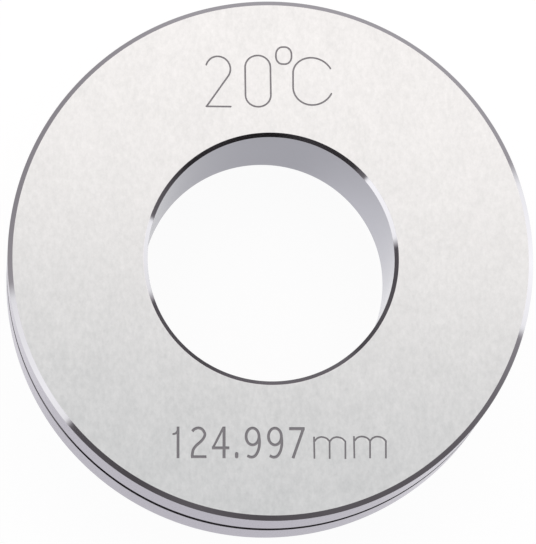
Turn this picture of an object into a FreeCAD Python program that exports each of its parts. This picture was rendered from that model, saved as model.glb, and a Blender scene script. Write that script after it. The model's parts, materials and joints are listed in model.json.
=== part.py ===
import FreeCAD, Part
import os

import Sketcher

# Setting ring gauge: one hardened steel ring whose lapped bore is the calibrated size.
# The ring rests on its lower face, its axis is +Z, and the origin is the centre of that face.
# Both faces are alike: the section is the same above and below the middle of the thickness.

# Driving dimensions in millimetres: alias, value, meaning.
DIMENSIONS = (
    ("bore_diameter", 124.997, "calibrated bore at 20 degrees Celsius"),
    ("outer_diameter", 266.0, "ground outside"),
    ("thickness", 80.0, "face to face"),
    ("bore_chamfer", 2.0, "lead-in at both mouths of the bore, 45 degrees"),
    ("rim_chamfer", 2.2, "both outer rims, 45 degrees"),
    ("groove_width", 6.0, "handling groove round the outside, at half the thickness"),
    ("groove_depth", 4.0, "depth of that groove below the outside"),
    ("groove_corner_radius", 0.8, "fillets along the groove's floor"),
    ("groove_edge_break", 0.4, "chamfers along the groove's mouth"),
)

# Two lengths that differ by less than this are taken as the same when an edge is looked up.
MATCH = 1e-4


def make_sheet(document):
    """Put the driving dimensions in a spreadsheet, one row and one alias each."""
    sheet = document.addObject("Spreadsheet::Sheet", "Sizes")
    for row, (alias, value, meaning) in enumerate(DIMENSIONS, start=1):
        sheet.set(f"A{row}", meaning)
        sheet.set(f"B{row}", str(value))
        sheet.setAlias(f"B{row}", alias)
    document.recompute()
    return sheet


def origin_plane(body, role):
    """The body's own origin plane with this role."""
    return next(plane for plane in body.Origin.OriginFeatures if plane.Role == role)


def half_section(body, name, inner, outer, bottom, top):
    """Sketch a rectangle on the body's XZ plane.

    inner and outer are its distances from the axis and bottom and top its heights, all of them
    expressions of the sheet's aliases.
    """
    sketch = body.newObject("Sketcher::SketchObject", name)
    sketch.AttachmentSupport = [(origin_plane(body, "XZ_Plane"), "")]
    sketch.MapMode = "FlatFace"

    corners = [FreeCAD.Vector(x, y, 0) for x, y in ((1, 0), (2, 0), (2, 1), (1, 1))]
    for start, end in zip(corners, corners[1:] + corners[:1]):
        sketch.addGeometry(Part.LineSegment(start, end), False)
    for line in range(4):
        sketch.addConstraint(Sketcher.Constraint("Coincident", line, 2, (line + 1) % 4, 1))
        direction = "Horizontal" if line % 2 == 0 else "Vertical"
        sketch.addConstraint(Sketcher.Constraint(direction, line))

    # Each side is held from the sketch's origin, which lies on the axis at the lower face.
    sides = (
        ("inner", "DistanceX", (0, 1), inner),
        ("outer", "DistanceX", (2, 1), outer),
        ("bottom", "DistanceY", (0, 1), bottom),
        ("top", "DistanceY", (2, 1), top),
    )
    for side, kind, (line, end), expression in sides:
        held = Sketcher.Constraint(kind, -1, 1, line, end, 1.0)
        index = sketch.addConstraint(held)
        sketch.renameConstraint(index, side)
        sketch.setExpression(f"Constraints.{side}", expression)
    return sketch


def turned(body, kind, name, sketch):
    """Turn a half section a full circle about the ring's axis, as added or as cut material."""
    feature = body.newObject(kind, name)
    feature.Profile = sketch
    feature.ReferenceAxis = (sketch, ["V_Axis"])
    feature.Angle = 360.0
    sketch.Visibility = False
    feature.Document.recompute()
    return feature


def circles(feature, diameter, heights):
    """Names of the feature's circular edges of this diameter at any of these heights."""
    names = []
    for number, edge in enumerate(feature.Shape.Edges, start=1):
        curve = edge.Curve
        if not isinstance(curve, Part.Circle):
            continue
        same_size = abs(2 * curve.Radius - diameter) < MATCH
        if same_size and any(abs(curve.Center.z - height) < MATCH for height in heights):
            names.append(f"Edge{number}")
    return names


def dressed(body, kind, name, base, edges, size_property, alias):
    """Chamfer or fillet these edges of the base feature by the size under the alias."""
    feature = body.newObject(kind, name)
    feature.Base = (base, edges)
    feature.setExpression(size_property, f"Sizes.{alias}")
    feature.Document.recompute()
    return feature


def gauge_ring(document, sheet):
    """The whole gauge: a turned blank, its chamfers, and the handling groove."""
    body = document.addObject("PartDesign::Body", "gauge_ring")
    body.Label = "gauge_ring"

    # The blank: a plain half section from the bore to the outside, standing on the lower face.
    blank_section = half_section(
        body,
        "blank_section",
        inner="Sizes.bore_diameter / 2",
        outer="Sizes.outer_diameter / 2",
        bottom="0",
        top="Sizes.thickness",
    )
    blank = turned(body, "PartDesign::Revolution", "blank", blank_section)

    # The 45 degree chamfers at both rims and at both mouths of the bore.
    faces = (0.0, sheet.thickness)
    rim_edges = circles(blank, sheet.outer_diameter, faces)
    rims = dressed(body, "PartDesign::Chamfer", "rim_chamfers", blank, rim_edges, "Size", "rim_chamfer")
    mouth_edges = circles(rims, sheet.bore_diameter, faces)
    mouths = dressed(body, "PartDesign::Chamfer", "bore_chamfers", rims, mouth_edges, "Size", "bore_chamfer")

    # The handling groove, cut by a section that stands as far out of the rim as it goes in.
    groove_section = half_section(
        body,
        "groove_section",
        inner="Sizes.outer_diameter / 2 - Sizes.groove_depth",
        outer="Sizes.outer_diameter / 2 + Sizes.groove_depth",
        bottom="(Sizes.thickness - Sizes.groove_width) / 2",
        top="(Sizes.thickness + Sizes.groove_width) / 2",
    )
    groove = turned(body, "PartDesign::Groove", "handling_groove", groove_section)
    if groove.Shape.Volume >= mouths.Shape.Volume:
        raise ValueError("the handling groove cuts nothing")

    # The groove's floor corners are rounded and its mouth edges broken.
    groove_sides = (
        (sheet.thickness - sheet.groove_width) / 2,
        (sheet.thickness + sheet.groove_width) / 2,
    )
    floor_diameter = sheet.outer_diameter - 2 * sheet.groove_depth
    floor_edges = circles(groove, floor_diameter, groove_sides)
    floor = dressed(
        body, "PartDesign::Fillet", "groove_fillets", groove, floor_edges, "Radius", "groove_corner_radius"
    )
    lip_edges = circles(floor, sheet.outer_diameter, groove_sides)
    dressed(body, "PartDesign::Chamfer", "groove_lips", floor, lip_edges, "Size", "groove_edge_break")
    return body


def check(document, bodies):
    """Stop unless every object has recomputed and every body holds one sound solid."""
    for item in document.Objects:
        if "Invalid" in item.State or "Error" in item.State:
            raise ValueError(f"{item.Label} failed: {item.State}")
    for body in bodies:
        shape = body.Shape
        if shape.isNull() or not shape.isValid() or len(shape.Solids) != 1:
            raise ValueError(f"{body.Label} is not one valid solid")


def main():
    document = FreeCAD.newDocument("setting_ring_gauge")
    sheet = make_sheet(document)
    bodies = [gauge_ring(document, sheet)]
    document.recompute()
    check(document, bodies)

    os.makedirs("parts", exist_ok=True)
    for body in bodies:
        body.Shape.exportStep(f"parts/{body.Label}.step")
        box = body.Shape.optimalBoundingBox()
        print(f"{body.Label}: {box.XLength:.3f} x {box.YLength:.3f} x {box.ZLength:.3f} mm,"
              f" {body.Shape.Volume / 1000:.1f} cubic centimetres")


main()
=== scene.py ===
"""A setting ring gauge: a thick ring of hardened steel whose lapped bore is the calibrated size.

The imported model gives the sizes. This script dresses it: it builds the ring's skin with softened edges and
the two engraved marks, gives each surface the finish that its making leaves, and sets up a plain studio.
Lengths in the classes are in millimetres, as on a drawing, and every mesh is made in metres.
"""
import json
import logging
from dataclasses import dataclass, field, replace
from enum import Enum

import bpy
import numpy as np
from mathutils import Matrix, Vector
from mathutils.geometry import delaunay_2d_cdt


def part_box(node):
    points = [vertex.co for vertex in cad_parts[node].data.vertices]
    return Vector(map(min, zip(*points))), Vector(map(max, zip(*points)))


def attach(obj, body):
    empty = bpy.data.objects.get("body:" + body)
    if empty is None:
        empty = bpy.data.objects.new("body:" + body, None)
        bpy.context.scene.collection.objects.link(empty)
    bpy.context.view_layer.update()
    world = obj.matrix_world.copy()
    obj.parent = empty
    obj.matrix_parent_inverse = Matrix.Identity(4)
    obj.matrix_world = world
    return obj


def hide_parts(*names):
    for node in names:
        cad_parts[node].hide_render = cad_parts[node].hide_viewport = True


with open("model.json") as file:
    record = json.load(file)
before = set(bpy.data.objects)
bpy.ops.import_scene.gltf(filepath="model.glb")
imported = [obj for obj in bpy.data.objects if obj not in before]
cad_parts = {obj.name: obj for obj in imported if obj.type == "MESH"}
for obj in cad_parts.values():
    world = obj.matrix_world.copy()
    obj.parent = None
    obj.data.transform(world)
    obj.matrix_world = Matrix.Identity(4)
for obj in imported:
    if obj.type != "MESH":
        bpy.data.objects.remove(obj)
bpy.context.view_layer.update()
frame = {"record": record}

LOG = logging.getLogger("setting_ring")

# A millimetre and a micrometre in metres.
MM = 0.001
MICROMETRE = 1e-6
# A length in mm, or a share of one, that counts as nothing.
HAIR = 1e-3
# Points of the face's triangulation that lie closer than this in mm are one point.
MERGE = 1e-5
# How far apart the points of an arc and of a straight line are, about, in mm.
ARC_STEP = 0.5
LINE_STEP = 1.0
# Points to a span of a smooth curve, and to the half circle at a stroke's round end.
SPAN_POINTS = 8
END_POINTS = 8
# A flat end shapes the cut over this many half widths.
FLAT_REACH = 1.5


class Surface(Enum):
    """The ring's surfaces, each with the place of its finish among the ring's materials."""

    FACE = 0
    CHAMFER = 1
    OUTSIDE = 2
    GROOVE = 3
    BORE = 4
    MARK = 5


class StrokeEnd(Enum):
    """How the cut of an engraved stroke ends."""

    ROUND = "round"
    FLAT = "flat"
    CLOSED = "closed"


# ---- Small tools ----


def linear(colour: str) -> tuple[float, float, float, float]:
    """Turn an sRGB hex colour into linear RGBA.

    Args:
        colour: the colour as "#rrggbb".

    Returns:
        Linear red, green, blue and an alpha of 1.
    """
    channels = np.array([int(colour[i : i + 2], 16) for i in (1, 3, 5)]) / 255.0
    low = channels / 12.92
    high = ((channels + 0.055) / 1.055) ** 2.4
    red, green, blue = np.where(channels <= 0.04045, low, high).tolist()
    return red, green, blue, 1.0


def bare_tree(owner: bpy.types.Material | bpy.types.World) -> bpy.types.NodeTree:
    """Turn on the nodes of a material or a world and clear them.

    Args:
        owner: the material or the world.

    Returns:
        Its empty node tree.
    """
    owner.use_nodes = True
    owner.node_tree.nodes.clear()
    return owner.node_tree


def add_node(
    tree: bpy.types.NodeTree,
    kind: str,
    settings: dict[str, object] | None = None,
    inputs: dict[str | int, object] | None = None,
) -> bpy.types.Node:
    """Add one node with its settings and its inputs.

    Args:
        tree: the node tree that it joins.
        kind: the node's type name.
        settings: its properties by name.
        inputs: its sockets by name or number, each a plain value or another node's output to link.

    Returns:
        The new node.
    """
    node = tree.nodes.new(kind)
    for name, value in (settings or {}).items():
        setattr(node, name, value)
    for name, value in (inputs or {}).items():
        if isinstance(value, bpy.types.NodeSocket):
            tree.links.new(value, node.inputs[name])
        else:
            node.inputs[name].default_value = value
    return node


def ray_kinds(tree: bpy.types.NodeTree) -> tuple[bpy.types.NodeSocket, bpy.types.NodeSocket]:
    """Tell the camera's own rays and the mirrored ones from the rest.

    Args:
        tree: the node tree that asks.

    Returns:
        Two sockets: the first is 1 for a ray from the camera, the second for one that the steel mirrored or
        that came through something clear.
    """
    path = add_node(tree, "ShaderNodeLightPath")
    mirror = add_node(
        tree,
        "ShaderNodeMath",
        {"operation": "MAXIMUM"},
        {0: path.outputs["Is Glossy Ray"], 1: path.outputs["Is Transmission Ray"]},
    )
    return path.outputs["Is Camera Ray"], mirror.outputs[0]


def add_object(name: str, data: bpy.types.ID) -> bpy.types.Object:
    """Make an object from a mesh, a lamp or a camera.

    Args:
        name: the object's name.
        data: what it shows.

    Returns:
        The new object, linked to the scene.
    """
    made = bpy.data.objects.new(name, data)
    bpy.context.scene.collection.objects.link(made)
    return made


def arc(centre: tuple[float, float], radii: tuple[float, float], start: float, end: float) -> np.ndarray:
    """Points of an elliptic arc: the centre plus (rx cos a, ry sin a), with a going evenly from start to end.

    Args:
        centre: the ellipse's centre in mm.
        radii: its half widths along x and y in mm.
        start: the first angle in degrees.
        end: the last angle in degrees.

    Returns:
        An array of points, about half a millimetre apart.
    """
    sweep = np.radians(abs(end - start)) * max(radii)
    angle = np.radians(np.linspace(start, end, max(3, round(sweep / ARC_STEP) + 1)))
    return np.array(centre) + np.column_stack((radii[0] * np.cos(angle), radii[1] * np.sin(angle)))


def through(*knots: tuple[float, float]) -> np.ndarray:
    """A smooth curve through a few points.

    Each span is the Catmull-Rom cubic of its four nearest points, and beyond each end the curve is given
    one more point, which mirrors the second in the first.

    Args:
        knots: the points in mm, in order.

    Returns:
        An array of points, eight to a span.
    """
    bare = np.array(knots)
    full = np.vstack((2 * bare[0] - bare[1], bare, 2 * bare[-1] - bare[-2]))
    p0, p1, p2, p3 = (full[i : len(bare) - 1 + i, None, :] for i in range(4))
    t = np.linspace(0, 1, SPAN_POINTS, endpoint=False)[None, :, None]
    slope = p2 - p0
    bend = 2 * p0 - 5 * p1 + 4 * p2 - p3
    twist = 3 * p1 - p0 - 3 * p2 + p3
    cubic = 0.5 * (2 * p1 + slope * t + bend * t**2 + twist * t**3)
    return np.vstack((cubic.reshape(-1, 2), bare[-1]))


def line(start: tuple[float, float], end: tuple[float, float]) -> np.ndarray:
    """Points of a straight line, about a millimetre apart.

    Args:
        start: its first point in mm.
        end: its last point in mm.

    Returns:
        An array of points with both ends.
    """
    length = float(np.hypot(end[0] - start[0], end[1] - start[1]))
    return np.linspace(start, end, max(2, round(length / LINE_STEP) + 1))


# ---- The engraved marks ----


@dataclass(frozen=True)
class Stroke:
    """One pass of the engraving cutter along a path that has no sharp corner."""

    path: np.ndarray
    half_width: float
    end: StrokeEnd = StrokeEnd.ROUND
    depth: float = 0.22

    def moved(self, right: float, up: float) -> "Stroke":
        """The same stroke, moved on the face by these lengths in mm."""
        return replace(self, path=self.path + (right, up))

    def tangents(self) -> np.ndarray:
        """Unit directions along the path at its points, as the mean of the two spans that meet there."""
        path = self.path
        if self.end is StrokeEnd.CLOSED:
            steps = np.roll(path, -1, axis=0) - np.roll(path, 1, axis=0)
        else:
            steps = np.gradient(path, axis=0)
        return steps / np.linalg.norm(steps, axis=1, keepdims=True)

    def outlines(self, inset: float) -> list[np.ndarray]:
        """Closed outlines of the cut, moved in from its edge.

        Each side is the path plus or minus its normal times the half width less the inset. A round end joins
        them by a half circle of that size, and a flat end by a straight line moved in by the inset.

        Args:
            inset: the distance in from the cut's edge in mm.

        Returns:
            One loop for an open stroke, two for a closed one.
        """
        along = self.tangents()
        across = np.column_stack((-along[:, 1], along[:, 0]))
        reach = self.half_width - inset
        left, right = self.path + across * reach, self.path - across * reach
        if self.end is StrokeEnd.CLOSED:
            return [left, right]
        if self.end is StrokeEnd.FLAT:
            left[0] += along[0] * inset
            right[0] += along[0] * inset
            left[-1] -= along[-1] * inset
            right[-1] -= along[-1] * inset
            return [np.vstack((left, right[::-1]))]
        turn = np.radians(np.linspace(0, 180, END_POINTS))[1:-1, None]
        far = self.path[-1] + reach * (np.cos(turn) * across[-1] + np.sin(turn) * along[-1])
        near = self.path[0] + reach * (-np.cos(turn) * across[0] - np.sin(turn) * along[0])
        return [np.vstack((left, far, right[::-1], near))]

    def inside(self, points: np.ndarray) -> np.ndarray:
        """How far points lie inside the cut.

        It is the half width less the distance to the nearest span of the path, and on the spans near a flat
        end no more than the distance to that end. Outside the cut it is negative.

        Args:
            points: an array of points in mm.

        Returns:
            One distance a point in mm.
        """
        ends = np.vstack((self.path, self.path[:1])) if self.end is StrokeEnd.CLOSED else self.path
        start, step = ends[:-1], np.diff(ends, axis=0)
        length = np.linalg.norm(step, axis=1)
        share = ((points[:, None] - start) * step).sum(-1) / length**2
        nearest = start + np.clip(share, 0, 1)[..., None] * step
        depth = self.half_width - np.linalg.norm(points[:, None] - nearest, axis=-1)
        if self.end is StrokeEnd.FLAT:
            run = np.concatenate(([0.0], np.cumsum(length)))
            near_first = run[:-1] < FLAT_REACH * self.half_width
            near_last = run[-1] - run[1:] < FLAT_REACH * self.half_width
            along = self.tangents()
            from_first = ((points - ends[0]) @ along[0])[:, None]
            from_last = ((ends[-1] - points) @ along[-1])[:, None]
            depth = np.where(near_first, np.minimum(depth, from_first), depth)
            depth = np.where(near_last, np.minimum(depth, from_last), depth)
        return depth.max(axis=1)


@dataclass(frozen=True)
class TemperatureMark:
    """The reference temperature, 20 degrees Celsius, cut with a fine round cutter above the bore."""

    half_width: float = 0.43

    def strokes(self) -> list[Stroke]:
        """The cuts of the figures 2 and 0, the degree ring and the C."""
        bowl = np.vstack(
            (arc((-27.1, 96.9), (6.05, 6.5), 161, 90), arc((-27.1, 96.9), (6.55, 6.5), 90, -35)[1:])
        )
        slant, base = line(tuple(bowl[-1]), (-32.5, 77.62)), line((-32.75, 77.47), (-20.35, 77.49))
        two = np.vstack((bowl, slant[1:]))
        crown = arc((-6.65, 98.0), (6.43, 6.1), 180, 0)
        heel = arc((-6.43, 83.6), (6.44, 6.03), 0, -180)
        side, back = line(tuple(crown[-1]), tuple(heel[0])), line(tuple(heel[-1]), tuple(crown[0]))
        nought = np.vstack((crown, side[1:-1], heel, back[1:-1]))
        corners = ((7.15, 104.75, 0), (5.95, 104.75, 90), (5.95, 103.65, 180), (7.15, 103.65, 270))
        degree = np.vstack([arc((x, y), (3.36, 3.87), turn, turn + 90) for x, y, turn in corners])
        letter = np.vstack(
            (
                arc((20.49, 91.6), (11.64, 11.64), 32, 90),
                arc((20.49, 95.25), (9.19, 7.99), 90, 180)[1:],
                arc((20.91, 88.0), (9.6, 9.22), 180, 270),
                arc((20.91, 89.98), (11.2, 11.2), 270, 332)[1:],
            )
        )
        open_cuts = [Stroke(path, self.half_width) for path in (two, base, letter)]
        closed_cuts = [Stroke(path, self.half_width, StrokeEnd.CLOSED) for path in (nought, degree)]
        return open_cuts + closed_cuts


@dataclass(frozen=True)
class SizeMark:
    """The calibrated size of the bore in millimetres, cut with a broad cutter below the bore.

    The figures are bold and square-ended, and the unit after them is cut finer.
    """

    stem: float = 0.70
    unit: float = 0.43

    def nine(self, shift: float, rise: float) -> list[Stroke]:
        """A figure 9, moved from where the first one stands.

        Args:
            shift: the move to the right in mm.
            rise: the move upwards in mm.

        Returns:
            Its bowl and its tail.
        """
        bowl = arc((-9.2 + shift, -91.0 + rise), (3.25, 4.25), 0, 360)[:-1]
        tail = through(
            (-5.95, -91.2),
            (-5.72, -93.6),
            (-5.9, -96.2),
            (-6.7, -98.9),
            (-8.1, -100.9),
            (-9.9, -101.45),
            (-11.85, -100.75),
        )
        return [
            Stroke(bowl, self.stem, StrokeEnd.CLOSED),
            Stroke(tail + (shift, rise), self.stem, StrokeEnd.FLAT),
        ]

    def letter_m(self, feet: tuple[float, float, float], foot: float, top: float) -> list[Stroke]:
        """A small letter m: three stems and two arches.

        Args:
            feet: where its stems stand along x in mm.
            foot: the height of the stems' feet in mm.
            top: the height of the arches' tops in mm.

        Returns:
            Its cuts.
        """
        left, middle, right = feet
        cuts = [line((left - 0.2, top + 0.15), (left, foot))]
        cuts += [line((x, top - 1.9), (x, foot)) for x in (middle, right)]
        for start, end in ((left, middle), (middle, right)):
            span = end - start
            arch = through(
                (start + 0.1, top - 2.1),
                (start + 0.2 * span, top - 0.6),
                (start + 0.47 * span, top),
                (start + 0.78 * span, top - 0.6),
                (end - 0.02, top - 2.1),
            )
            cuts.append(arch)
        return [Stroke(path, self.unit, StrokeEnd.FLAT) for path in cuts]

    def strokes(self) -> list[Stroke]:
        """The cuts of the six figures, their point and the unit."""
        flat = StrokeEnd.FLAT
        swan = through(
            (-39.5, -88.6),
            (-38.2, -87.4),
            (-36.25, -86.9),
            (-34.3, -87.75),
            (-33.15, -89.9),
            (-33.75, -91.95),
            (-35.25, -93.8),
            (-37.4, -95.75),
            (-38.85, -97.7),
            (-39.35, -99.7),
            (-39.5, -101.4),
        )
        cuts = [
            # The 1: its stem, then its flag.
            Stroke(line((-46.6, -86.3), (-46.57, -102.25)), 0.7, flat),
            Stroke(through((-49.0, -90.05), (-48.4, -89.95), (-47.5, -89.5), (-46.8, -88.3)), 0.5),
            # The 2: its swan neck, then its base.
            Stroke(swan, self.stem, flat),
            Stroke(line((-40.1, -101.47), (-32.3, -101.4)), self.stem, flat),
            # The 4: its slant, its bar and its stem.
            Stroke(line((-23.75, -86.4), (-29.05, -96.9)), 0.56, flat),
            Stroke(line((-29.6, -96.93), (-20.85, -96.86)), 0.74, flat),
            Stroke(line((-23.52, -86.1), (-23.5, -102.1)), 0.77, flat),
            # The point, and the 9 twice.
            Stroke(line((-17.17, -99.8), (-17.2, -101.25)), 0.88),
            *self.nine(0.0, 0.0),
            *self.nine(11.25, 0.06),
            # The 7: its bar, then its slant.
            Stroke(line((9.2, -86.93), (17.0, -86.87)), 0.79, flat),
            Stroke(line((16.4, -86.7), (11.1, -101.85)), 0.72, flat),
        ]
        cuts += self.letter_m((21.9, 29.55, 37.47), -102.0, -91.02)
        return cuts + self.letter_m((42.0, 49.9, 57.85), -101.6, -90.6)


@dataclass(frozen=True)
class Engraving:
    """Both marks together, as cuts into the upper face."""

    cuts: list[Stroke]
    shoulder: float = 0.32

    @classmethod
    def laid_out(cls, right: float = -0.27, up: float = 0.24) -> "Engraving":
        """Both marks, moved together on the face by these lengths in mm."""
        return cls([cut.moved(right, up) for cut in TemperatureMark().strokes() + SizeMark().strokes()])

    def guides(self) -> list[tuple[np.ndarray, bool]]:
        """Lines that the face's triangles have to follow: edges, shoulders and bottoms of the cuts.

        Returns:
            Pairs of a line's points and whether it closes on itself.
        """
        found = []
        for cut in self.cuts:
            for inset in (0.0, self.shoulder * cut.half_width):
                found += [(loop, True) for loop in cut.outlines(inset)]
            found.append((cut.path, cut.end is StrokeEnd.CLOSED))
        return found

    def depth(self, points: np.ndarray) -> np.ndarray:
        """Depth of the cuts below the face.

        Across a cut the depth follows a quarter ellipse: with s the distance inside the edge as a share of
        the half width, it is the full depth times the square root of 1 - (1 - s) squared.

        Args:
            points: an array of points in mm.

        Returns:
            One depth a point in mm, 0 outside the cuts.
        """
        found = np.zeros(len(points))
        for cut in self.cuts:
            margin = 2 * cut.half_width
            low, high = cut.path.min(0) - margin, cut.path.max(0) + margin
            near = np.flatnonzero(((points > low) & (points < high)).all(1))
            share = np.clip(cut.inside(points[near]) / cut.half_width, 0, 1)
            share[share < HAIR] = 0
            found[near] = np.maximum(found[near], cut.depth * np.sqrt(1 - (1 - share) ** 2))
        return found


# ---- Finishes ----


@dataclass(frozen=True)
class Grain:
    """One size of the marks that the making left.

    It has its spacing in mm along x, y and z, the depth of its bump in micrometres, and how far it moves the
    finish's colour, as a share of the way from dark to light, and its roughness.
    """

    spacing: tuple[float, float, float]
    depth_um: float = 0.0
    tone: float = 0.0
    gloss: float = 0.0
    detail: float = 2.0
    distortion: float = 0.0


@dataclass(frozen=True)
class SteelFinish:
    """A finish of bare hardened steel: its darkest and lightest colour, its roughness and its grains.

    The edge colour is what its reflection is tinted by at a glancing angle.
    """

    name: str
    dark: str
    light: str
    roughness: float
    grains: tuple[Grain, ...]
    edge: str = "#ececee"

    def material(self) -> bpy.types.Material:
        """Make the finish as a procedural material.

        Each grain is a noise on the piece's own coordinates, scaled to its spacing. The colour goes from
        dark to light and the roughness up and down by the sum of the grains, and each grain is a bump.

        Returns:
            The new material.
        """
        made = bpy.data.materials.new(self.name)
        tree = bare_tree(made)
        where = add_node(tree, "ShaderNodeTexCoord").outputs["Object"]
        tone = 0.5 - 0.5 * sum(grain.tone for grain in self.grains)
        gloss = self.roughness - 0.5 * sum(grain.gloss for grain in self.grains)
        normal = None
        for grain in self.grains:
            scale = tuple(1.0 / (spacing * MM) for spacing in grain.spacing)
            mapped = add_node(tree, "ShaderNodeMapping", inputs={"Vector": where, "Scale": scale})
            pattern = {"Scale": 1.0, "Detail": grain.detail, "Distortion": grain.distortion}
            pattern["Vector"] = mapped.outputs[0]
            noise = add_node(tree, "ShaderNodeTexNoise", inputs=pattern).outputs[0]
            if grain.tone:
                terms = {0: noise, 1: grain.tone, 2: tone}
                tone = add_node(tree, "ShaderNodeMath", {"operation": "MULTIPLY_ADD"}, terms).outputs[0]
            if grain.gloss:
                terms = {0: noise, 1: grain.gloss, 2: gloss}
                gloss = add_node(tree, "ShaderNodeMath", {"operation": "MULTIPLY_ADD"}, terms).outputs[0]
            if grain.depth_um:
                bump = {"Height": noise, "Strength": 1.0, "Distance": grain.depth_um * MICROMETRE}
                if normal is not None:
                    bump["Normal"] = normal
                normal = add_node(tree, "ShaderNodeBump", inputs=bump).outputs[0]
        colour = add_node(
            tree,
            "ShaderNodeMix",
            {"data_type": "RGBA", "clamp_factor": True},
            {0: tone, 6: linear(self.dark), 7: linear(self.light)},
        ).outputs[2]
        surface = {"Base Color": colour, "Metallic": 1.0, "Roughness": gloss}
        surface["Specular Tint"] = linear(self.edge)
        if normal is not None:
            surface["Normal"] = normal
        steel = add_node(tree, "ShaderNodeBsdfPrincipled", inputs=surface)
        add_node(tree, "ShaderNodeOutputMaterial", inputs={"Surface": steel.outputs[0]})
        return made


# Lapped with loose grit on a flat plate: an even satin that mirrors nothing, softly mottled where the grit
# cut deeper. The real grains are hundredths of a millimetre, so they are drawn coarser, to show at all.
LAPPED_FACE = SteelFinish(
    "lapped_gauge_steel",
    "#b8babb",
    "#d3d4d5",
    0.35,
    (
        Grain((2.0, 3.1, 3.0), depth_um=14.0, tone=0.8, gloss=0.09),
        Grain((11.0, 17.0, 12.0), depth_um=18.0, tone=0.4, gloss=0.04, distortion=0.6),
        Grain((0.9, 1.2, 1.0), depth_um=2.2, tone=0.4),
    ),
)

# Polished with fine stones after hardening: it mirrors the room in clear bands, with hardly a hair of haze.
POLISHED_CHAMFER = SteelFinish(
    "polished_gauge_steel",
    "#c5c4c7",
    "#cdccce",
    0.08,
    (Grain((9.0, 9.0, 9.0), tone=0.6, gloss=0.03), Grain((1.4, 1.4, 0.5), depth_um=0.4, tone=0.2)),
)

# Cylindrically ground: fine lines run round the ring, which stretch a reflection up and down.
GROUND_OUTSIDE = SteelFinish(
    "ground_gauge_steel",
    "#bcb9c0",
    "#cac7ce",
    0.2,
    (
        Grain((60.0, 60.0, 0.55), depth_um=1.2, tone=0.5, gloss=0.05),
        Grain((25.0, 25.0, 2.4), depth_um=1.0, tone=0.4, gloss=0.04),
    ),
    edge="#dad8df",
)

# Turned before hardening, with tool lines. Its dark grey is painted shade: it stands in for the shade that
# falls in the groove's recess.
GROOVE_PAINTED_SHADE = SteelFinish(
    "turned_gauge_steel",
    "#4b494c",
    "#5f5d60",
    0.22,
    (Grain((40.0, 40.0, 0.35), depth_um=2.5, tone=0.6, gloss=0.08),),
)

# Lapped to the last thousandth: a soft, even sheen, with the faint lines of the turning lap.
LAPPED_BORE = SteelFinish(
    "lapped_bore_steel",
    "#b2b1b6",
    "#bebdc3",
    0.14,
    (
        Grain((45.0, 45.0, 0.45), depth_um=0.5, tone=0.5, gloss=0.12),
        Grain((14.0, 14.0, 9.0), depth_um=1.5, tone=0.4, gloss=0.03),
    ),
    edge="#d1d1d6",
)

# The floor of a cut left by a rotating cutter, rough and a little oxidised, so it stays grey in any light.
CUT_MARK = SteelFinish(
    "engraved_gauge_steel",
    "#6e6c70",
    "#8b898d",
    0.55,
    (Grain((0.5, 0.5, 0.5), depth_um=6.0, tone=0.8, gloss=0.1),),
)


# ---- The ring ----


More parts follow.
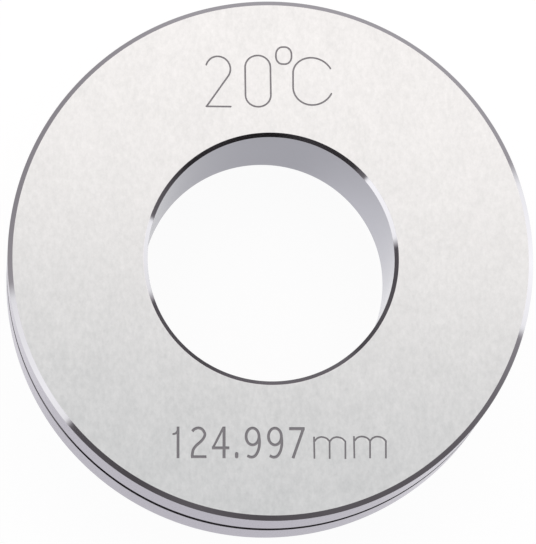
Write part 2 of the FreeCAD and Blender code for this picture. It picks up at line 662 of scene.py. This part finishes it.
@dataclass(frozen=True)
class GaugeRing:
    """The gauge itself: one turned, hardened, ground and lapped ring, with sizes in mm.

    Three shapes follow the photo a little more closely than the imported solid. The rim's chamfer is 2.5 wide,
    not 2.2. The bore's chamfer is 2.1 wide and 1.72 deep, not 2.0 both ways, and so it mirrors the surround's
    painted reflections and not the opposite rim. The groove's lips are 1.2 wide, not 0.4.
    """

    bore_radius: float
    outer_radius: float
    thickness: float
    rim_width: float = 2.5
    mouth_width: float = 2.1
    mouth_depth: float = 1.72
    groove_width: float = 6.0
    groove_depth: float = 4.0
    groove_corner: float = 0.8
    lip_width: float = 1.2
    edge_radius: float = 0.13
    lip_radius: float = 0.12
    edge_margin: float = 0.05
    arc_steps: int = 4
    turns: int = 640
    helper_radii: tuple[float, ...] = (70.0, 77.0, 112.0, 120.0, 126.0)
    helper_stride: int = 4
    sharp_angle: float = 30.0
    marks: Engraving = field(default_factory=Engraving.laid_out)

    def section(self) -> tuple[np.ndarray, np.ndarray]:
        """The ring's section, from the upper face's outer end round the outside, under and up the bore.

        Every corner is rounded. With u and v the directions from the corner to its neighbours and q the turn
        between them, the arc's centre lies on the line that halves the corner, at the radius over cos(q/2),
        and the arc starts at the radius times tan(q/2) along u. Its points are the start and end spokes
        mixed by sin((1-s)q) and sin(sq), over sin(q). One point more on each side keeps the shading of the
        flat beside it flat.

        Returns:
            The section's points as radius and height in mm, and the surface of the band after each point
            but the last.
        """
        inner, outer, high = self.bore_radius, self.outer_radius, self.thickness
        rim, flare, mouth, lip = self.rim_width, self.mouth_width, self.mouth_depth, self.lip_width
        low_side, high_side = (high - self.groove_width) / 2, (high + self.groove_width) / 2
        floor = outer - self.groove_depth
        edge, fine, fillet = self.edge_radius, self.lip_radius, self.groove_corner
        chamfer, outside, groove = Surface.CHAMFER.value, Surface.OUTSIDE.value, Surface.GROOVE.value
        face, bore = Surface.FACE.value, Surface.BORE.value
        # Radius, height, rounding, surface of the corner, surface of the side after it.
        rows = np.array(
            [
                (outer - rim, high, edge, chamfer, chamfer),
                (outer, high - rim, edge, chamfer, outside),
                (outer, high_side + lip, fine, groove, groove),
                (outer - lip, high_side, fine, groove, groove),
                (floor, high_side, fillet, groove, groove),
                (floor, low_side, fillet, groove, groove),
                (outer - lip, low_side, fine, groove, groove),
                (outer, low_side - lip, fine, groove, outside),
                (outer, rim, edge, chamfer, chamfer),
                (outer - rim, 0.0, edge, chamfer, face),
                (inner + flare, 0.0, edge, chamfer, chamfer),
                (inner, mouth, edge, chamfer, bore),
                (inner, high - mouth, edge, chamfer, chamfer),
                (inner + flare, high, edge, chamfer, face),
            ]
        )
        corner, radius = rows[:, :2], rows[:, 2, None]
        after = np.roll(corner, -1, axis=0) - corner
        after /= np.linalg.norm(after, axis=1, keepdims=True)
        before = -np.roll(after, 1, axis=0)
        turn = np.pi - np.arccos(np.clip((after * before).sum(1, keepdims=True), -1, 1))
        reach = radius * np.tan(turn / 2)
        middle = after + before
        centre = corner + middle / np.linalg.norm(middle, axis=1, keepdims=True) * radius / np.cos(turn / 2)
        first, last = corner + before * reach - centre, corner + after * reach - centre
        share = np.linspace(0, 1, self.arc_steps + 1)[None, :, None]
        sweep = turn[:, None]
        spokes = np.sin((1 - share) * sweep) * first[:, None] + np.sin(share * sweep) * last[:, None]
        spokes /= np.sin(sweep)
        start = (corner + before * (reach + self.edge_margin))[:, None]
        end = (corner + after * (reach + self.edge_margin))[:, None]
        points = np.concatenate((start, centre[:, None] + spokes, end), axis=1)
        at_corner, side = np.repeat(rows[:, 3:4], self.arc_steps, axis=1), rows[:, 4:5]
        surfaces = np.hstack((np.roll(side, 1, axis=0), at_corner, side, side))
        return points.reshape(-1, 2), surfaces.ravel()[:-1].astype(int)

    def turned(self) -> tuple[np.ndarray, np.ndarray, np.ndarray, np.ndarray]:
        """Carry the section round the axis: each point becomes (r cos a, r sin a, z).

        Returns:
            The vertices in mm, the quads, the surface of each quad, and the section's points.
        """
        section, surfaces = self.section()
        turns = self.turns
        angle = np.arange(turns) * 2 * np.pi / turns
        radius, height = section[:, :1], np.repeat(section[:, 1:], turns, axis=1)
        grid = np.stack((radius * np.cos(angle), radius * np.sin(angle), height), axis=-1)
        row, column = np.meshgrid(np.arange(len(section) - 1), np.arange(turns), indexing="ij")
        here, beside = row * turns + column, row * turns + (column + 1) % turns
        quads = np.stack((here, here + turns, beside + turns, beside), axis=-1).reshape(-1, 4)
        return grid.reshape(-1, 3), quads, np.repeat(surfaces, turns), section

    def marked_face(self, section: np.ndarray) -> tuple[np.ndarray, np.ndarray, np.ndarray]:
        """Triangulate the upper face between its two rims, with every edge and bottom of the marks kept.

        Args:
            section: the ring's section, whose first and last points are the face's rims.

        Returns:
            The vertices that the turned part lacks in mm, the triangles, which count them after the turned
            part's vertices, and the surface of each triangle.
        """
        turns = self.turns
        angle = np.arange(turns) * 2 * np.pi / turns
        ring = np.column_stack((np.cos(angle), np.sin(angle)))
        outer, inner = section[0, 0], section[-1, 0]
        guides = [(ring * outer, True), (ring * inner, True)] + self.marks.guides()
        coarse = ring[:: self.helper_stride]
        points = np.vstack([part for part, _ in guides] + [coarse * radius for radius in self.helper_radii])
        pairs, count = [], 0
        for part, closed in guides:
            number = np.arange(len(part)) + count
            pair = np.column_stack((number, np.roll(number, -1)))
            pairs.append(pair if closed else pair[:-1])
            count += len(part)
        edges = np.vstack(pairs).tolist()
        found = delaunay_2d_cdt(list(map(Vector, points.tolist())), edges, [], 0, MERGE, True)
        flat, triangles = np.array([tuple(point) for point in found[0]]), np.array(found[2])
        radius = np.hypot(flat[:, 0], flat[:, 1])
        triangles = triangles[~(radius[triangles] < inner + HAIR).all(axis=1)]

        # The rims' vertices are the turned part's own: their number follows from their angle.
        step = np.round(np.arctan2(flat[:, 1], flat[:, 0]) / (2 * np.pi / turns)).astype(int) % turns
        on_outer, on_inner = np.abs(radius - outer) < HAIR, np.abs(radius - inner) < HAIR
        own = ~(on_outer | on_inner)
        number = np.where(on_outer, step, (len(section) - 1) * turns + step)
        number[own] = len(section) * turns + np.arange(own.sum())

        # A triangle belongs to a mark if its middle is cut, and every triangle is turned to face up.
        depth = self.marks.depth(flat)
        corner = flat[triangles]
        middle = self.marks.depth(corner.mean(axis=1))
        surfaces = np.where(middle > HAIR, Surface.MARK.value, Surface.FACE.value)
        first, second = corner[:, 1] - corner[:, 0], corner[:, 2] - corner[:, 0]
        downward = first[:, 0] * second[:, 1] - first[:, 1] * second[:, 0] < 0
        triangles[downward] = triangles[downward][:, ::-1]
        vertices = np.column_stack((flat[own], self.thickness - depth[own]))
        return vertices, number[triangles], surfaces

    def build(self, name: str) -> bpy.types.Object:
        """Build the ring as one closed mesh and dress each of its surfaces.

        Args:
            name: the piece's name.

        Returns:
            The new object, at the origin.
        """
        vertices, quads, quad_surfaces, section = self.turned()
        extra, triangles, triangle_surfaces = self.marked_face(section)
        places = np.vstack((vertices, extra)) * MM
        surfaces = np.concatenate((quad_surfaces, triangle_surfaces)).astype(np.int32)
        mesh = bpy.data.meshes.new(name)
        mesh.from_pydata(places.tolist(), [], quads.tolist() + triangles.tolist())
        for finish in (LAPPED_FACE, POLISHED_CHAMFER, GROUND_OUTSIDE, GROOVE_PAINTED_SHADE, LAPPED_BORE, CUT_MARK):
            mesh.materials.append(finish.material())
        mesh.polygons.foreach_set("material_index", surfaces)
        mesh.polygons.foreach_set("use_smooth", np.ones(len(mesh.polygons), bool))
        mesh.update()
        mesh.set_sharp_from_angle(angle=float(np.radians(self.sharp_angle)))
        return add_object(name, mesh)


# ---- The studio ----


def stage_object(
    name: str, vertices: np.ndarray, faces: np.ndarray, material: bpy.types.Material
) -> bpy.types.Object:
    """Make an object that is not part of the gauge.

    Args:
        name: its name.
        vertices: its vertices in metres.
        faces: its faces.
        material: its material.

    Returns:
        The new object.
    """
    mesh = bpy.data.meshes.new(name)
    mesh.from_pydata(vertices.tolist(), [], faces.tolist())
    mesh.materials.append(material)
    made = add_object(name, mesh)
    return made


@dataclass(frozen=True)
class Bench:
    """The plain pale floor: a near disc that the steel mirrors and a wide ring beyond it that it does not.

    The lifts are how much of the matt white gives way to an even white light, for the camera and in the
    steel, and that light's strength. The gains and their spans, in metres, paint light on the floor's mirror
    image. They make it brighter on the right inside the bore, and outside the ring everywhere but in front of
    it, which lies at the azimuth called front. This painted light shows only in the steel's reflections.
    """

    colour: str = "#f2f2f4"
    near_radius: float = 0.31
    far_radius: float = 4.0
    sides: int = 96
    drop: float = 0.00005
    camera_lift: float = 0.88
    mirror_lift: float = 0.75
    lift: float = 1.05
    # Painted light on the floor's mirror image, on the right inside the bore.
    painted_side_light: float = 0.36
    side_span: tuple[float, float] = (0.012, 0.056)
    inside_span: tuple[float, float] = (0.08, 0.11)
    # Painted light on the floor's mirror image, outside the ring but not in front of it.
    painted_flank_light: float = 0.17
    front: float = 255.0
    front_span: tuple[float, float] = (0.075, 0.112)
    outside_span: tuple[float, float] = (0.12, 0.132)

    def material(self) -> bpy.types.Material:
        """A matt white sheet that the camera sees as white, with the gauge's soft shadow kept on it.

        Each gain is painted light: the product of two smooth ramps, one across the side or towards the front,
        and one with the distance from the ring's axis, and it counts for mirrored rays alone. From below the
        sheet is clear.

        Returns:
            The new material.
        """
        made = bpy.data.materials.new("matt_white_bench")
        tree = bare_tree(made)
        camera, mirror = ray_kinds(tree)
        terms = {0: mirror, 1: self.mirror_lift}
        seen = add_node(tree, "ShaderNodeMath", {"operation": "MULTIPLY"}, terms).outputs[0]
        terms = {0: camera, 1: self.camera_lift, 2: seen}
        share = add_node(tree, "ShaderNodeMath", {"operation": "MULTIPLY_ADD"}, terms).outputs[0]
        matt = add_node(tree, "ShaderNodeBsdfDiffuse", inputs={"Color": linear(self.colour)})
        place = add_node(tree, "ShaderNodeTexCoord").outputs["Object"]
        across = add_node(tree, "ShaderNodeSeparateXYZ", inputs={0: place}).outputs["X"]
        out = add_node(tree, "ShaderNodeVectorMath", {"operation": "LENGTH"}, {0: place}).outputs["Value"]
        turn = np.radians(self.front)
        terms = {0: place, 1: (np.cos(turn), np.sin(turn), 0.0)}
        ahead = add_node(tree, "ShaderNodeVectorMath", {"operation": "DOT_PRODUCT"}, terms).outputs["Value"]
        strength = self.lift
        # The two gains are painted light: extra glow on the floor, seen only in the steel, that brightens its
        # reflection of the floor by place.
        for ramps in (
            ((across, self.side_span, 0.0, self.painted_side_light), (out, self.inside_span, 1.0, 0.0)),
            ((ahead, self.front_span, self.painted_flank_light, 0.0), (out, self.outside_span, 0.0, 1.0)),
        ):
            gain = mirror
            for where, (start, end), first, last in ramps:
                span = {"From Min": start, "From Max": end, "To Min": first, "To Max": last, "Value": where}
                ramp = add_node(tree, "ShaderNodeMapRange", {"interpolation_type": "SMOOTHSTEP"}, span)
                terms = {0: gain, 1: ramp.outputs[0]}
                gain = add_node(tree, "ShaderNodeMath", {"operation": "MULTIPLY"}, terms).outputs[0]
            terms = {0: gain, 1: strength}
            strength = add_node(tree, "ShaderNodeMath", {"operation": "ADD"}, terms).outputs[0]
        white = add_node(tree, "ShaderNodeEmission", inputs={"Strength": strength})
        terms = {0: share, 1: matt.outputs[0], 2: white.outputs[0]}
        mixed = add_node(tree, "ShaderNodeMixShader", inputs=terms)
        below = add_node(tree, "ShaderNodeNewGeometry").outputs["Backfacing"]
        clear = add_node(tree, "ShaderNodeBsdfTransparent")
        terms = {0: below, 1: mixed.outputs[0], 2: clear.outputs[0]}
        sided = add_node(tree, "ShaderNodeMixShader", inputs=terms)
        add_node(tree, "ShaderNodeOutputMaterial", inputs={"Surface": sided.outputs[0]})
        made.cycles.emission_sampling = "NONE"
        return made

    def build(self) -> None:
        """Lay both parts of the floor, a fan and a ring round it, a hair below the gauge's lower face."""
        material = self.material()
        sides, number = self.sides, np.arange(self.sides)
        following = (number + 1) % sides
        angle = number * 2 * np.pi / sides
        ring = np.column_stack((np.cos(angle), np.sin(angle), np.zeros(sides)))
        down = np.array((0.0, 0.0, self.drop))
        near = np.vstack((ring * self.near_radius, (0.0, 0.0, 0.0))) - down
        fan = np.column_stack((number, following, np.full(sides, sides)))
        stage_object("bench_near", near, fan, material)
        far = np.vstack((ring * self.near_radius, ring * self.far_radius)) - down
        quads = np.column_stack((number, number + sides, following + sides, following))
        stage_object("bench_far", far, quads, material).visible_glossy = False


@dataclass(frozen=True)
class Surround:
    """Painted reflections: a wall of glowing bands, white, grey and dark, seen only as reflections in the
    steel.
    It lights no matt surface and casts no shadow.

    Each row of the table is an azimuth in degrees, the brightness below and above the line where the wall
    changes, the height of that line in metres, and the height from which the wall turns pale again. The
    blends are the heights in metres over which those two changes happen, and the wall's columns stand one
    turn step apart, in degrees.
    """

    radius: float = 1.1
    bottom: float = -0.45
    top: float = 0.78
    turn_step: float = 0.5
    rows: int = 108
    line_blend: float = 0.02
    pale_blend: float = 0.1
    pale: float = 0.85
    white: str = "#fdfdff"
    shade: str = "#fff5ff"
    table: tuple[tuple[float, float, float, float, float], ...] = (
        # The painted white reflection on the right.
        (-8.2, 0.4, 0.2, 0.2, 0.49),
        (-6.2, 1.42, 1.45, 0.2, 0.49),
        (8.0, 1.62, 1.4, 0.1, 0.38),
        (24.4, 1.42, 1.27, 0.01, 0.29),
        # The painted grey reflection of the far side.
        (29.2, 0.55, 0.15, 0.0, 0.28),
        (39.0, 0.57, 0.145, 0.0, 0.28),
        (54.0, 0.59, 0.118, 0.0, 0.28),
        (62.0, 0.595, 0.118, 0.0, 0.28),
        (70.0, 0.6, 0.17, 0.0, 0.28),
        (87.0, 0.61, 0.25, 0.0, 0.28),
        (104.0, 0.58, 0.22, 0.0, 0.28),
        (117.0, 0.505, 0.22, 0.0, 0.28),
        (125.0, 0.48, 0.115, 0.01, 0.3),
        (133.0, 0.455, 0.12, 0.02, 0.32),
        (144.0, 0.43, 0.145, 0.05, 0.36),
        (160.0, 0.42, 0.125, 0.1, 0.42),
        (175.5, 0.475, 0.13, 0.16, 0.5),
        # The painted white reflection on the left.
        (178.0, 0.5, 0.8, 0.165, 0.505),
        (180.4, 0.98, 1.45, 0.17, 0.51),
        (181.8, 1.26, 1.47, 0.18, 0.52),
        (205.5, 1.45, 1.57, 0.245, 0.605),
        (214.0, 1.34, 1.6, 0.27, 0.64),
        # The painted dark reflection, behind the camera.
        (216.0, 0.14, 0.2, 0.27, 0.64),
        (220.5, 0.138, 0.165, 0.27, 0.64),
        (224.0, 0.135, 0.06, 0.27, 0.65),
        (237.0, 0.12, 0.045, 0.27, 0.66),
        (254.0, 0.18, 0.06, 0.27, 0.66),
        (271.0, 0.13, 0.02, 0.27, 0.66),
        (288.0, 0.17, 0.025, 0.27, 0.63),
        (304.0, 0.17, 0.04, 0.25, 0.58),
        (321.0, 0.185, 0.04, 0.2, 0.54),
        (338.0, 0.26, 0.15, 0.2, 0.52),
        (351.8, 0.4, 0.2, 0.2, 0.49),
    )

    def material(self) -> bpy.types.Material:
        """Painted reflections: glow whose strength at each place is kept in the mesh as its glow.

        The dimmer it is, the more its white gives way to a faint purple shade, a painted tint of the dark
        reflections.

        Returns:
            The new material.
        """
        made = bpy.data.materials.new("room_light")
        tree = bare_tree(made)
        glow = add_node(tree, "ShaderNodeAttribute", {"attribute_name": "glow"}).outputs["Fac"]
        colour = add_node(
            tree,
            "ShaderNodeMix",
            {"data_type": "RGBA", "clamp_factor": True},
            {0: glow, 6: linear(self.shade), 7: linear(self.white)},
        ).outputs[2]
        light = add_node(tree, "ShaderNodeEmission", inputs={"Color": colour, "Strength": glow})
        add_node(tree, "ShaderNodeOutputMaterial", inputs={"Surface": light.outputs[0]})
        made.cycles.emission_sampling = "NONE"
        return made

    def build(self) -> None:
        """Build the wall as a grid of azimuth and height, with its glow mixed from the table's two levels."""
        azimuth, height = np.arange(0, 360, self.turn_step), np.linspace(self.bottom, self.top, self.rows)
        stop, low, high, split, band_top = np.array(self.table).T
        turn, level = np.meshgrid(azimuth, height, indexing="ij")
        wrapped = np.where(turn > stop[-1], turn - 360, turn)
        raised = np.clip((level - np.interp(wrapped, stop, split)) / self.line_blend + 0.5, 0, 1)
        glow = np.interp(wrapped, stop, low) * (1 - raised) + np.interp(wrapped, stop, high) * raised
        paler = np.clip((level - np.interp(wrapped, stop, band_top)) / self.pale_blend, 0, 1)
        glow = glow * (1 - paler) + np.maximum(glow, self.pale) * paler
        angle = np.radians(turn)
        grid = np.stack((self.radius * np.cos(angle), self.radius * np.sin(angle), level), axis=-1)
        column, row = np.meshgrid(np.arange(len(azimuth)), np.arange(self.rows - 1), indexing="ij")
        here, beside = column * self.rows + row, (column + 1) % len(azimuth) * self.rows + row
        quads = np.stack((here, beside, beside + 1, here + 1), axis=-1)
        wall = stage_object("room_surround", grid.reshape(-1, 3), quads.reshape(-1, 4), self.material())
        kept = wall.data.attributes.new("glow", "FLOAT", "POINT")
        kept.data.foreach_set("value", glow.ravel().astype(np.float32))
        # The wall paints reflections: only mirrored rays see it, so it lights no matt surface and casts no
        # shadow.
        wall.visible_camera = wall.visible_diffuse = wall.visible_shadow = wall.visible_transmission = False


@dataclass(frozen=True)
class Softbox:
    """The one lamp: a broad, slightly warm panel that hangs level above the far side of the gauge.

    Its near edge crosses over the gauge, and the satin face blurs it into a slope from light to grey.
    """

    height: float = 0.58
    azimuth: float = 83.0
    near_edge: float = 0.056
    width: float = 1.1
    glow: float = 0.71
    colour: str = "#fff1e9"

    def build(self) -> None:
        """Hang the panel with its near edge square to its azimuth.

        Its power is its glow times pi times its area.
        """
        lamp = bpy.data.lights.new("softbox", "AREA")
        lamp.shape, lamp.size, lamp.energy = "SQUARE", self.width, self.glow * np.pi * self.width**2
        lamp.color = linear(self.colour)[:3]
        made = add_object("softbox", lamp)
        turn, out = np.radians(self.azimuth), self.near_edge + self.width / 2
        made.location = (out * np.cos(turn), out * np.sin(turn), self.height)
        made.rotation_euler = (0.0, 0.0, turn)
        made.visible_camera = False


@dataclass(frozen=True)
class Studio:
    """White all round for the camera and in reflections, and a plain level of light on matt things."""

    colour: str = "#ffffff"
    diffuse_level: float = 0.6
    bench: Bench = field(default_factory=Bench)
    surround: Surround = field(default_factory=Surround)
    softbox: Softbox = field(default_factory=Softbox)

    def build(self) -> None:
        """Set the world's light and build the bench, the surround and the lamp."""
        world = bpy.data.worlds.new("plain_studio")
        bpy.context.scene.world = world
        tree = bare_tree(world)
        camera, mirror = ray_kinds(tree)
        seen = add_node(tree, "ShaderNodeMath", {"operation": "MAXIMUM"}, {0: mirror, 1: camera}).outputs[0]
        terms = {0: seen, 1: 1.0 - self.diffuse_level, 2: self.diffuse_level}
        strength = add_node(tree, "ShaderNodeMath", {"operation": "MULTIPLY_ADD"}, terms).outputs[0]
        even = {"Color": linear(self.colour), "Strength": strength}
        light = add_node(tree, "ShaderNodeBackground", inputs=even)
        add_node(tree, "ShaderNodeOutputWorld", inputs={"Surface": light.outputs[0]})
        self.bench.build()
        self.surround.build()
        self.softbox.build()
        bpy.context.scene.view_settings.view_transform = "Standard"


@dataclass(frozen=True)
class Camera:
    """A long lens almost straight above the gauge, a little on its near side."""

    place: tuple[float, float, float] = (-148.867, -426.849, 2611.751)
    tilt: float = 9.9654
    azimuth: float = 250.6817
    lens: float = 337.279
    sensor: float = 36.0
    reach: float = 50.0

    def build(self) -> None:
        """Place the camera.

        Its back axis is (sin tilt cos azimuth, sin tilt sin azimuth, cos tilt), its right axis is the
        frame's Y crossed with that, and its up axis is the back axis crossed with the right one.
        """
        tilt, azimuth = np.radians((self.tilt, self.azimuth))
        back = np.array((np.sin(tilt) * np.cos(azimuth), np.sin(tilt) * np.sin(azimuth), np.cos(tilt)))
        right = np.cross((0.0, 1.0, 0.0), back)
        right /= np.linalg.norm(right)
        turn = np.column_stack((right, np.cross(back, right), back))
        data = bpy.data.cameras.new("camera")
        data.lens, data.sensor_width, data.clip_end = self.lens, self.sensor, self.reach
        made = add_object("camera", data)
        made.matrix_world = Matrix.Translation(Vector(self.place) * MM) @ Matrix(turn.tolist()).to_4x4()
        bpy.context.scene.camera = made


def ring_from_frame() -> GaugeRing:
    """Take the ring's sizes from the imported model.

    Returns:
        The ring, with its outside and thickness from the model's box and its bore from the bore's mount.
    """
    _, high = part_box("gauge_ring")
    bore = next(mount for mount in frame["record"]["mounts"] if mount["name"] == "bore")["dims"]
    return GaugeRing(
        bore_radius=bore["r_mm"],
        outer_radius=round(high.x / MM, 4),
        thickness=round(high.z / MM, 4),
    )


def main() -> None:
    """Build the ring, the studio and the camera."""
    logging.basicConfig(level=logging.INFO, format="%(name)s: %(message)s")
    ring = ring_from_frame()
    piece = ring.build("setting_ring")
    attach(piece, "root")
    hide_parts("gauge_ring")
    sizes = 2 * ring.bore_radius, 2 * ring.outer_radius
    LOG.info("ring: bore %.3f mm, outside %.1f mm, %d faces", *sizes, len(piece.data.polygons))
    Studio().build()
    LOG.info("studio: bench, surround and softbox")
    camera = Camera()
    camera.build()
    LOG.info("camera: %.1f mm lens", camera.lens)


if __name__ == "__main__":
    main()
